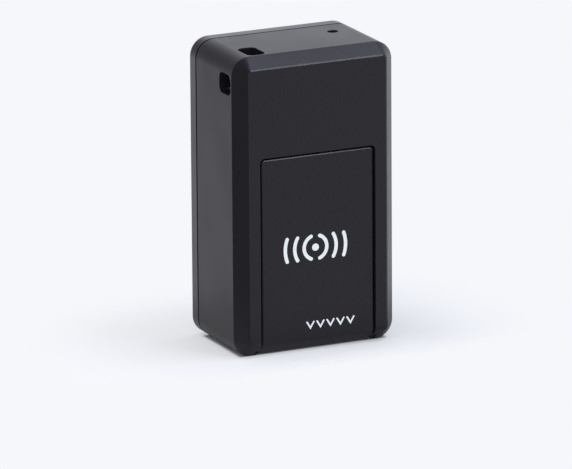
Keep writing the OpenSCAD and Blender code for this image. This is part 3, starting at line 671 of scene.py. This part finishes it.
def slideCover():
    # The plate runs down to the case's foot, thicker at its end where the bevel takes its front
    levels = np.sort([*np.linspace(cover["foot"], cover["bendTop"], 15)[1:], *cover["footTop"]])
    path = outline(cover["width"], cover["foot"], cover["top"], cover["corner"], 8, levels,
            roundFoot=False)
    height, edge = path[0][:, 1], cover["edge"]
    plate = carved("plate", path, [(0, edge), (edge * 0.45, 0), (5.0, 0)], coverLine(height),
            np.where(height < cover["footTop"][1], cover["footBack"], cover["back"]))
    levels = np.linspace(cover["flangeFoot"], cover["bendTop"], 15)[1:]
    path = outline(cover["flangeWidth"], cover["flangeFoot"], cover["flangeTop"],
            cover["flangeCorner"], 8, levels, roundFoot=False)
    face = np.minimum(np.maximum(cover["flangeFront"], coverLine(path[0][:, 1])),
            cover["back"] - cover["thin"])
    combine(plate, carved("flange", path, [(0, 0), (1, 0)], face,
            cover["back"] + cover["overlap"]), "UNION")

    def rounded(normals, centres):
        # The plate's own rounded edge, not its face or sides
        return ((centres[:, 1] < cover["front"] + cover["edge"]) & (normals[:, 1] > -0.99)
                & (normals[:, 1] < -0.02) & (centres[:, 2] > cover["polishedFrom"]))

    return finishSolid(plate, "slideCoverMoulding", coverBlack, angle=20, edges=rounded)


stand(slideCover(), "slide_cover", "cover")
print("case mouldings made")

# Printed marks: the film's thickness, and places and sizes across and up the cover's face
marks = {"film": 0.02, "signal": (-0.35, 14.95), "radii": (1.75, 3.2, 4.65), "height": 1.62,
         "stroke": 0.52, "dot": 1.05, "arrows": (1.9, 3.8), "count": 5, "pitch": 1.55,
         "wing": (0.52, 0.42), "thin": 0.24, "blunt": 0.06}


def stroke(points, width):
    # A flat band along a line, as wide as the stroke, closing to its ends as a half circle
    points = np.asarray(points, float)
    turn = np.linspace(0, np.pi / 2, 7)[1:]
    along = np.gradient(points, axis=0)
    along /= np.linalg.norm(along, axis=1)[:, None]
    reach = width / 2 * np.sin(turn)[:, None]
    middle = np.concatenate([(points[0] - along[0] * reach)[::-1], points,
            points[-1] + along[-1] * reach])
    way = np.concatenate([np.tile(along[0], (6, 1)), along, np.tile(along[-1], (6, 1))])
    narrow = np.maximum(np.cos(turn), marks["blunt"])
    # A bend of angle a is mitred: its half width grows by 1 / cos(a / 2)
    step = np.diff(points, axis=0)
    step /= np.linalg.norm(step, axis=1)[:, None]
    mitre = np.ones(len(points))
    mitre[1:-1] = 1 / np.sqrt((1 + (step[1:] * step[:-1]).sum(1)) / 2)
    half = width / 2 * np.concatenate([narrow[::-1], mitre, narrow])
    across = np.stack([-way[:, 1], way[:, 0]], 1) * half[:, None]
    sides = np.stack([middle + across, middle - across], 1)
    ring = np.concatenate([sides, sides[:, ::-1]], 1)
    depth = cover["front"] + marks["film"] * np.array([-1, -1, 1, 1])
    count = len(middle)
    place = np.stack([ring[..., 0], np.tile(depth, (count, 1)), ring[..., 1]], -1)
    i = np.arange(count - 1)[:, None] * 4
    k = np.arange(4)
    faces = np.stack([i + k, i + (k + 1) % 4, i + 4 + (k + 1) % 4, i + 4 + k], -1).reshape(-1, 4)
    ends = np.array([[0, 1, 2, 3], [3, 2, 1, 0]]) + [[0], [(count - 1) * 4]]
    return place.reshape(-1, 3), np.concatenate([faces, ends])


def printMarks():
    # A radio sign, a dot between arcs at centre + radius * (cos, sin), and a row of small
    # arrowheads that point down
    x, z = marks["signal"]
    bands = []
    for radius in marks["radii"]:
        reach = math.asin(min(0.98, marks["height"] / radius))
        turn = np.linspace(-reach, reach, 25)
        for side in (0, math.pi):
            bands.append(stroke(np.stack([x + radius * np.cos(turn + side),
                    z + radius * np.sin(turn + side)], 1), marks["stroke"]))
    bands.append(stroke([[x - 0.001, z], [x + 0.001, z]], marks["dot"]))
    (x, z), (wide, tall) = marks["arrows"], marks["wing"]
    for i in range(marks["count"]):
        middle = x + (i - marks["count"] // 2) * marks["pitch"]
        bands.append(stroke([[middle - wide, z + tall], [middle, z - tall],
                [middle + wide, z + tall]], marks["thin"]))
    points, faces, start = [], [], 0
    for place, rows in bands:
        points.append(place)
        faces.append(rows + start)
        start += len(place)
    piece = newPiece("printedMarks", np.concatenate(points), np.concatenate(faces), inkWhite)
    stand(piece, None, "cover")


printMarks()
print("marks printed")


def easedSolid(work, name, material, corners, width, segments=2):
    # Rounds corners by a width in millimetres
    bmesh.ops.bevel(work, geom=corners, offset=width / 1000, segments=segments, profile=0.5,
            affect="EDGES", clamp_overlap=True)
    return finishSolid(placeMesh(work, name), name, material)


def eased(node, name, material, width, segments=2, angle=30):
    # A node's own shape, merged and cleared of the edges within flats, its corners eased
    work = merged(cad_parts[node].data)
    bmesh.ops.dissolve_limit(work, angle_limit=math.radians(0.5), verts=work.verts,
            edges=work.edges)
    corners = [edge for edge in work.edges
            if len(edge.link_faces) == 2 and edge.calc_face_angle() > math.radians(angle)]
    return easedSolid(work, name, material, corners, width, segments)


def boxes(name, pairs, material, width):
    # Many small boxes with eased edges as one piece
    work = bmesh.new()
    for low, high in pairs:
        place = Matrix.Translation(((np.array(low) + high) / 2000).tolist())
        size = Matrix.Diagonal((*((np.array(high) - low) / 1000).tolist(), 1))
        bmesh.ops.create_cube(work, size=1.0, matrix=place @ size)
    return easedSolid(work, name, material, list(work.edges), width)


def nodeBox(node):
    # A node's lowest and highest corners in millimetres
    return [np.array(corner) * 1000 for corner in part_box(node)]


def looseBoxes(node):
    # Lowest and highest corners, in millimetres, of each separate solid of a node
    work = merged(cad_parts[node].data)
    left, found = set(work.verts), []
    while left:
        group, rim = set(), {left.pop()}
        while rim:
            point = rim.pop()
            group.add(point)
            rim |= {edge.other_vert(point) for edge in point.link_edges} - group
        left -= group
        place = np.array([point.co for point in group]) * 1000
        found.append((place.min(0), place.max(0)))
    work.free()
    return sorted(found, key=lambda pair: tuple(pair[0].round(3)))


# Card sockets, with a spring finger in each of the cages' windows
fingers = {"width": 1.1, "sheet": 0.2, "reach": 0.78, "sunk": 0.01, "root": 0.2}


def socketCage(node, name, cardWidth):
    # The eased cage with a finger from the top of each window, a quarter of the card from its
    # middle
    cage = eased(node, name, socketSteel, width=0.05)
    low, high = nodeBox(node)
    middle, half = (low[2] + high[2]) / 2, (high[2] - low[2]) / 4
    wide, sunk = fingers["width"] / 2, fingers["sunk"]
    for side in (-1, 1):
        x = (low[0] + high[0]) / 2 + side * cardWidth / 4
        combine(cage, box("finger", (x - wide, x + wide),
                (low[1] + sunk, low[1] + fingers["sheet"] - sunk),
                (middle + half * (1 - 2 * fingers["reach"]), middle + half + fingers["root"])),
                "UNION")
    stand(finishSolid(cage, name, socketSteel), node)


socketCage("sim_cage", "subscriberCage", 12.0)
socketCage("memory_cage", "memoryCage", 11.0)
for node, name, material, width, slot, body in (
        ("sim_base", "subscriberBase", socketBlack, 0.04, "socket_plastic", "root"),
        ("memory_base", "memoryBase", socketBlack, 0.04, "socket_plastic", "root"),
        ("sim_card", "subscriberCard", cardWhite, 0.06, "card_white", "subscriber_card"),
        ("memory_card", "memoryCard", cardBlack, 0.06, "card_black", "storage_card")):
    stand(eased(node, name, material, width), node, body)
print("sockets and cards made")

# Push switch and its stem
switch = {"ease": 0.06, "plate": 0.1, "margin": 0.15, "bore": 1.8, "stake": 0.45, "inset": 0.5,
          "proud": 0.02, "deep": 0.1, "leadWidth": 0.6, "leadReach": 0.35, "leadThick": 0.18,
          "leadRoot": 0.1, "leadX": 0.85, "dome": 0.25}


def pushSwitch():
    # A steel plate inside the body's edge, a stake in each of its corners, and two leads at
    # both ends of the body
    low, high = nodeBox("switch_housing")
    middle, edge, front = (low + high) / 2, switch["margin"], low[1] + switch["plate"]
    body = eased("switch_housing", "switchBody", switchBlack, switch["ease"])
    combine(body, box("cut", (low[0] - 1, high[0] + 1), (low[1] - 1, front),
            (low[2] - 1, high[2] + 1)))
    stand(finishSolid(body, "switchBody", switchBlack), "switch_housing")
    plate = box("plate", (low[0] + edge, high[0] - edge), (low[1], front),
            (low[2] + edge, high[2] - edge))
    combine(plate, disc("bore", middle[0], middle[2], switch["bore"],
            [(low[1] - 1, 0), (low[1] + 1, 0)]))
    stand(finishSolid(plate, "switchPlate", socketSteel), None)
    stakes, leads = [], []
    for side in (-1, 1):
        for end in (-1, 1):
            x, z = middle[[0, 2]] + (high - middle)[[0, 2]] * (side, end)
            x, start = x - side * switch["inset"], z
            place = np.array([x, low[1] + switch["proud"], z - end * switch["inset"]])
            reach = np.array([1, 0, 1]) * switch["stake"] / 2
            stakes.append((place - reach - [0, switch["proud"], 0],
                    place + reach + [0, switch["deep"], 0]))
            levels = sorted((start - end * switch["leadRoot"], start + end * switch["leadReach"]))
            x, half = middle[0] + side * switch["leadX"], switch["leadWidth"] / 2
            leads.append(((x - half, high[1] - switch["leadThick"], levels[0]),
                    (x + half, high[1], levels[1])))
    stand(boxes("switchStakes", stakes, switchBlack, width=0.1), None)
    stand(boxes("switchLeads", leads, tinPlate, width=0.04), None)


def buttonStem():
    # A circle as wide as the node, carried along its depth to a domed front
    low, high = nodeBox("power_button")
    x, y, z = zip(low, high)
    stem = disc("stem", sum(x) / 2, sum(z) / 2, x[1] - x[0], profile([(y[0], 0.6, 0),
            (y[0], 0, switch["dome"]), (y[1], 0, 0.05), (y[1], 0.6, 0)], 6))
    stand(finishSolid(stem, "buttonStem", stemWhite), "power_button", "button")


pushSwitch()
buttonStem()

# Lamps, chip parts and the solder under them
lamp = {"share": 0.5, "side": 0.06, "end": 0.3, "sunk": 0.05}
solder = {"reach": 0.22, "under": 0.12, "thick": 0.03, "endCap": 0.22, "tuck": 0.8,
          "waist": 0.02}


def slab(low, high, axis, first, last):
    # What lies of a box between two places on one axis
    low, high = low.copy(), high.copy()
    low[axis], high[axis] = first, last
    return low, high


def lamps():
    # Each lamp is parted at a share of its depth: a lens in front, a body behind
    bodies, lenses = [], []
    for low, high in looseBoxes("status_lights"):
        step = low[1] + (high[1] - low[1]) * lamp["share"]
        bodies.append(slab(low, high, 1, step, high[1]))
        lenses.append(((low[0] + lamp["side"], low[1], low[2] + lamp["end"]),
                (high[0] - lamp["side"], step + lamp["sunk"], high[2] - lamp["end"])))
    stand(boxes("lampLenses", lenses, lensMilky, width=0.14), "status_lights")
    stand(boxes("lampBodies", bodies, cardWhite, width=0.05), None)


def chipParts():
    # A ceramic waist between two end caps
    waists, caps = [], []
    cap, waist = solder["endCap"], solder["waist"]
    rim = np.array([cap * solder["tuck"], waist, waist])
    for low, high in looseBoxes("passives"):
        waists.append((low + rim, high - rim))
        caps.append(slab(low, high, 0, low[0], low[0] + cap))
        caps.append(slab(low, high, 0, high[0] - cap, high[0]))
    stand(boxes("chipCeramic", waists, ceramicTan, width=0.03), "passives")
    stand(boxes("chipEnds", caps, tinPlate, width=0.04), None)


def solderPads():
    # A thin pad under both ends of each small part, on the side of the board that it is on
    front, pads = nodeBox("circuit_board")[0][1], []
    thick, reach, under = solder["thick"], solder["reach"], solder["under"]
    for node, axis in (("passives", 0), ("status_lights", 2)):
        for low, high in looseBoxes(node):
            if low[1] > front:
                flat = slab(low, high, 1, low[1], low[1] + thick)
            else:
                flat = slab(low, high, 1, high[1] - thick, high[1])
            pads.append(slab(*flat, axis, low[axis] - reach, low[axis] + under))
            pads.append(slab(*flat, axis, high[axis] - under, high[axis] + reach))
    stand(boxes("solderPads", pads, tinPlate, width=0.012), None)


lamps()
chipParts()
solderPads()
print("switch, lamps and chip parts made")

# Charging port: rounded shell, tongue and its five contacts
port = {"ease": 0.11, "tongueEase": 0.06, "contacts": 5, "pitch": 0.65, "width": 0.3,
        "proud": 0.02, "sunk": 0.05, "setback": 0.35}


def chargingPort():
    stand(eased("usb_shell", "portShell", portSteel, port["ease"], segments=3), "usb_shell")
    stand(eased("usb_tongue", "portTongue", socketBlack, port["tongueEase"]), "usb_tongue")
    # The tongue is the part of its node that is slimmer than the plug of plastic behind it
    points = np.array([vertex.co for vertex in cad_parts["usb_tongue"].data.vertices]) * 1000
    tip = points[:, 2].min()
    blade = points[points[:, 2] < tip + 0.01]
    top, root = blade[:, 1].max(), np.unique(points[:, 2].round(3))[1]
    half = port["width"] / 2
    places = (np.arange(port["contacts"]) - (port["contacts"] - 1) / 2) * port["pitch"]
    strips = [((x - half, top - port["sunk"], tip + port["setback"]),
            (x + half, top + port["proud"], root)) for x in places]
    stand(boxes("portContacts", strips, goldPlate, width=0.03), None)


# Magnets: two ground discs with a broken edge, plated
magnet = {"diameter": 10.0, "broken": 0.2, "ring": 1.0}


def magnetDiscs():
    # Two lofted circles, one in each pocket of the back
    pair = None
    for low, high in looseBoxes("magnets"):
        one = disc("magnetDiscs", 0, (low[2] + high[2]) / 2, magnet["diameter"],
                profile([(low[1], magnet["ring"], 0), (low[1], 0, magnet["broken"]),
                (high[1], 0, magnet["broken"]), (high[1], magnet["ring"], 0)], 4))
        if pair:
            combine(one, pair, "UNION")
        pair = one
    stand(finishSolid(pair, "magnetDiscs", magnetNickel), "magnets")


chargingPort()
magnetDiscs()
stand(eased("case_screws", "caseScrews", screwZinc, width=0.05), "case_screws")
print("port, magnets and screws made")

# What stays inside the case keeps its solid and takes its finish
inside = {"circuit_board": boardGreen, "sim_contacts": goldPlate, "microphone": canAluminium,
          "microphone_boot": bootBlack, "microphone_leads": wireRed, "processor_chip": chipBlack,
          "memory_chips": chipBlack, "crystal": canAluminium, "radio_shield": tinPlate,
          "antenna_film": filmAmber, "antenna_springs": goldPlate, "battery_cell": cellFoil,
          "battery_board": boardGreen, "battery_lead_red": wireRed,
          "battery_lead_black": wireBlack, "insulating_sheet": sheetCream,
          "battery_tape": tapeWhite}
for node, material in inside.items():
    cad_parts[node].data.materials.clear()
    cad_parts[node].data.materials.append(material)
print("inner parts finished")

# Degrees, millimetres from the case's middle and back to the lens, and the clips in metres
photoView = {"azimuth": -25.271, "elevation": 15.361, "roll": -0.405, "right": -1.117,
             "up": -6.398, "distance": 1107.41, "lens": 498.09, "sensor": 36, "near": 0.01,
             "far": 50}


def placeCamera():
    # Back from the target along a direction, with its own axes turned by the roll
    azimuth, elevation, roll = (math.radians(photoView[key])
            for key in ("azimuth", "elevation", "roll"))
    back = np.array([math.sin(azimuth) * math.cos(elevation),
            -math.cos(azimuth) * math.cos(elevation), math.sin(elevation)])
    right = np.array([math.cos(azimuth), math.sin(azimuth), 0])
    up = np.cross(back, right)
    across = math.cos(roll) * right + math.sin(roll) * up
    upward = -math.sin(roll) * right + math.cos(roll) * up
    target = (np.array([0, 0, case["height"] / 2]) + photoView["right"] * across
            + photoView["up"] * upward)
    lens = bpy.data.cameras.new("camera")
    lens.lens, lens.sensor_width = photoView["lens"], photoView["sensor"]
    lens.clip_start, lens.clip_end = photoView["near"], photoView["far"]
    camera = bpy.data.objects.new("camera", lens)
    scene.collection.objects.link(camera)
    camera.matrix_world = stance((across, upward, back),
            (target + back * photoView["distance"]) / 1000)
    scene.camera = camera


# Watts and metres
lights = {"softbox": {"power": 0.64, "size": (0.24, 0.2), "place": (0.19, -0.15, 0.44),
                      "colour": "#e2e8ff"},
          "edge lamp": {"power": 0.1, "size": (0.07, 0.07), "place": (0.205, -0.39, 0.27),
                        "colour": "#eef2ff"}}


def areaLight(name, look, aim=(0, 0, 0.02)):
    # A rectangle of light that faces the aim, with its long side level
    light = bpy.data.lights.new(name, "AREA")
    light.shape, (light.size, light.size_y) = "RECTANGLE", look["size"]
    light.energy, light.color = look["power"], hexColour(look["colour"])[:3]
    lampBox = bpy.data.objects.new(name, light)
    scene.collection.objects.link(lampBox)
    back = np.array(look["place"]) - aim
    back /= np.linalg.norm(back)
    side = np.cross([0, 0, 1], back)
    side /= np.linalg.norm(side)
    lampBox.matrix_world = stance((side, np.cross(back, side), back), look["place"])


# The fade's from and to, weighed by side, and what else is a length, in millimetres. The
# glow, dark, painted shadow, gloss and front entries set painted shade in the sheet's glow and
# colour
sheet = {"size": 120.0, "level": -0.01, "half": (11.1, 6.0, 1000.0), "from": 10.0, "to": 27.0,
         "low": (0.9, 2.4, 1.0), "high": (1.0, 1.0, 1.0), "glowWithPaintedShade": (4.0, 17.0, 0.47, 0.405),
         "dark": 0.5, "shadow": (-10.0, 6.0, 0.0, 1.0), "shadowReach": 13.0, "shadowShare": 0.2,
         "gloss": 0.38, "front": (-6.5, -5.5, 0.56, 0.0), "flat": (8.5, 10.6),
         "tones": ("#bbbcbf", "#bfc0c3"), "light": "#f4f6fb", "cloud": 6.0}


def studioFloor():
    # White sheet that glows, so that shadows on it stay pale. Its glow and colour hold painted
    # shade: a painted contact shadow under the foot, a painted shadow to the right and painted
    # shade in its reflections, darkest in front. It fades away round the part's foot, soonest in
    # front, where the cover goes past its level
    material, tree, shader, place = newMaterial("glowing white sheet with painted shade", {"Roughness": 0.9,
            "IOR": 1.3, "Specular IOR Level": 0.1, "Emission Color": hexColour(sheet["light"])})
    cloud = addNode(tree, "TexNoise", {"Scale": sheet["cloud"], "Detail": 2.0},
            {"Vector": place})[0]
    dark, light = (hexColour(tone) for tone in sheet["tones"])
    colour = addNode(tree, "Mix", {"data_type": "RGBA", 6: dark, 7: light}, {0: cloud})[2]
    # Distance from the part's foot: the length of what lies beyond its box, weighed by side
    half = np.array(sheet["half"]) / 1000
    beyond = [addNode(tree, "VectorMath", {"operation": "MULTIPLY_ADD", 1: tuple(side * weight),
            2: tuple(-half * weight)}, {0: place})[0]
            for side, weight in ((-1, np.array(sheet["low"])), (1, np.array(sheet["high"])))]
    beyond = addNode(tree, "VectorMath", {"operation": "MAXIMUM"},
            {0: beyond[0], 1: beyond[1]})[0]
    beyond = addNode(tree, "VectorMath", {"operation": "MAXIMUM"}, {0: beyond})[0]
    beyond = addNode(tree, "VectorMath", {"operation": "LENGTH"}, {0: beyond})["Value"]
    # Painted shade: no glow under the foot, a painted contact shadow; less glow to the right, a
    # painted shadow; and less glow for gloss, and for gloss in front, where the bevel overhangs
    # the sheet, no glow and a black colour, painted shade in its reflections
    path = addNode(tree, "LightPath")
    across, depth = addNode(tree, "SeparateXYZ", {}, {0: place})[:2]
    glossy = path["Is Glossy Ray"]

    def metres(value, low, high, first, last):
        return value, low / 1000, high / 1000, first, last

    # Painted contact shadow: no glow under the foot
    under = shareOf(tree, metres(beyond, 0, sheet["dark"], 1.0, 0.0))
    # Painted shade in reflections: gloss sees the sheet darker in front of the foot
    close = shareOf(tree, (glossy, 0, 1, 0.0, 1.0), metres(depth, *sheet["front"]))
    # Painted shadow: less glow to the right of the foot, most near it
    shadow = shareOf(tree, metres(across, *sheet["shadow"]),
            metres(beyond, 0, sheet["shadowReach"], sheet["shadowShare"], 0.0))
    # The sheet's glow, less to the right as painted shade, cut by the painted shades and for gloss
    glowWithPaintedShade = shareOf(tree, metres(across, *sheet["glowWithPaintedShade"]), (under, 0, 1, 1.0, 0.0),
            (close, 0, 1, 1.0, 0.0), (shadow, 0, 1, 1.0, 0.0),
            (glossy, 0, 1, 1.0, sheet["gloss"]))
    # For gloss the sheet's colour turns black in front: painted shade in its reflections
    colour = addNode(tree, "Mix", {"data_type": "RGBA", 7: hexColour("#000000")},
            {0: close, 6: colour})[2]
    tree.links.new(colour, shader.inputs["Base Color"])
    tree.links.new(glowWithPaintedShade, shader.inputs["Emission Strength"])
    # Clear where it fades, from behind and, but for the camera, under the foot's flat, so that
    # light reaches the foot
    aside = addNode(tree, "Math", {"operation": "ABSOLUTE"}, {0: across})[0]
    under = shareOf(tree, (under, 0, 1, 0.0, 1.0), (path["Is Camera Ray"], 0, 1, 1.0, 0.0),
            metres(aside, *sheet["flat"], 1.0, 0.0))
    clear = addNode(tree, "MapRange", {"interpolation_type": "SMOOTHSTEP",
            1: sheet["from"] / 1000, 2: sheet["to"] / 1000}, {0: beyond})[0]
    for share in (under, addNode(tree, "NewGeometry")["Backfacing"]):
        clear = addNode(tree, "Math", {"operation": "MAXIMUM"}, {0: clear, 1: share})[0]
    glass = addNode(tree, "BsdfTransparent")[0]
    mix = addNode(tree, "MixShader", {}, {0: clear, 1: shader.outputs[0], 2: glass})
    tree.links.new(mix[0], tree.nodes["Material Output"].inputs["Surface"])
    reach, level = sheet["size"], sheet["level"]
    points = [(x * reach, y * reach, level) for x, y in ((-1, -1), (1, -1), (1, 1), (-1, 1))]
    newPiece("floor", points, [[0, 1, 2, 3]], material)


room = {"bright": (0.8, 0.5, -0.6), "side": (-0.02, 0.37), "low": (-0.8, -0.3, 0.04, 1.0),
        "light": "#f0f1fc", "gain": 1.35, "dim": "#3a3a40", "level": 0.88, "seen": "#f6f7fb"}


def studioWorld():
    # A room that gloss sees bright low down behind and to the right, and dim in front, to the
    # left, overhead and in the part's own shade. It fills evenly, and the camera sees it pale
    world = bpy.data.worlds.new("pale room")
    scene.world = world
    world.use_nodes = True
    tree = world.node_tree
    path = addNode(tree, "LightPath")
    way = addNode(tree, "TexCoord")["Generated"]
    lean = addNode(tree, "VectorMath", {"operation": "DOT_PRODUCT", 1: room["bright"]},
            {0: way})["Value"]
    height = addNode(tree, "SeparateXYZ", {}, {0: way})[2]
    share = shareOf(tree, (lean, *room["side"], 0.0, 1.0), (height, *room["low"]))
    seen = addNode(tree, "Mix", {"data_type": "RGBA", 6: hexColour(room["dim"]),
            7: hexColour(room["light"])}, {0: share})[2]
    seen = addNode(tree, "VectorMath", {"operation": "SCALE", "Scale": room["gain"]},
            {0: seen})[0]
    fill = [room["level"]] * 3 + [1.0]
    gloss = addNode(tree, "Mix", {"data_type": "RGBA", 6: fill},
            {0: path["Is Glossy Ray"], 7: seen})[2]
    colour = addNode(tree, "Mix", {"data_type": "RGBA", 7: hexColour(room["seen"])},
            {0: path["Is Camera Ray"], 6: gloss})[2]
    tree.links.new(colour, tree.nodes["Background"].inputs["Color"])


placeCamera()
studioFloor()
studioWorld()
for name, look in lights.items():
    areaLight(name, look)
scene.view_settings.view_transform = "Standard"
print("studio lit")
